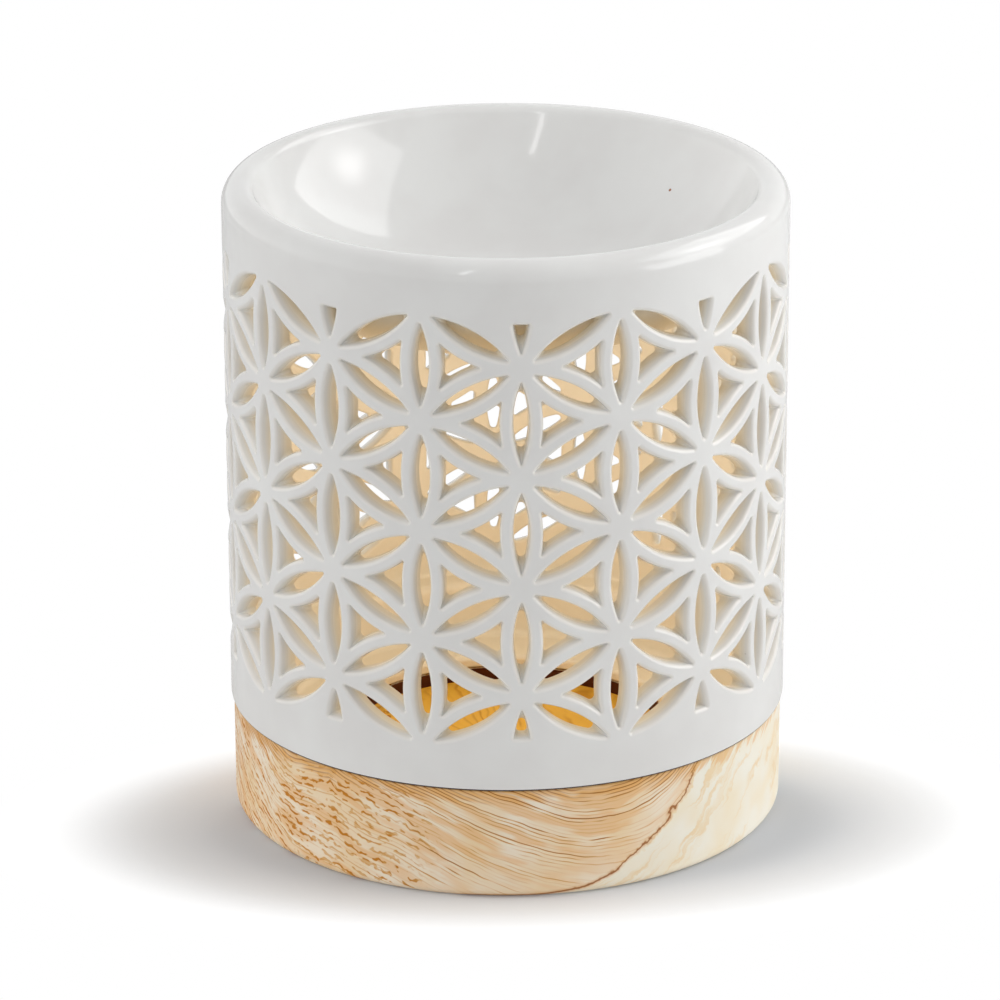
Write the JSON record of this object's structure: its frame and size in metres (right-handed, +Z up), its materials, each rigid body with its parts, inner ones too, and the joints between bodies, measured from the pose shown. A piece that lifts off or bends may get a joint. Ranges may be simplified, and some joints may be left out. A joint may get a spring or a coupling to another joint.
{
  "type": "essential oil burner",
  "caption": "Round glazed oil burner: a shallow bowl on a wall pierced with a petal lattice, standing in a recessed wooden base.",
  "frame": {"origin": "middle of the underside of the wooden base, on the surface that it stands on", "axes": "+Z up along the burner's axis, -Y towards the front, where the first column of stars is"},
  "size_m": [0.1, 0.1, 0.1161],
  "materials": {
    "white_glaze": "gloss",
    "pale_wood": "satin"
  },
  "bodies": {
    "base": {"wooden_base": "pale_wood"},
    "burner": {"oil_bowl": "white_glaze", "pierced_wall": "white_glaze", "foot_ring": "white_glaze"}
  },
  "joints": [
    {"name": "burner_lift", "type": "slide", "parent": "base", "child": "burner", "axis": [0, 0, 1], "range_m": [0, 0.08]}
  ]
}
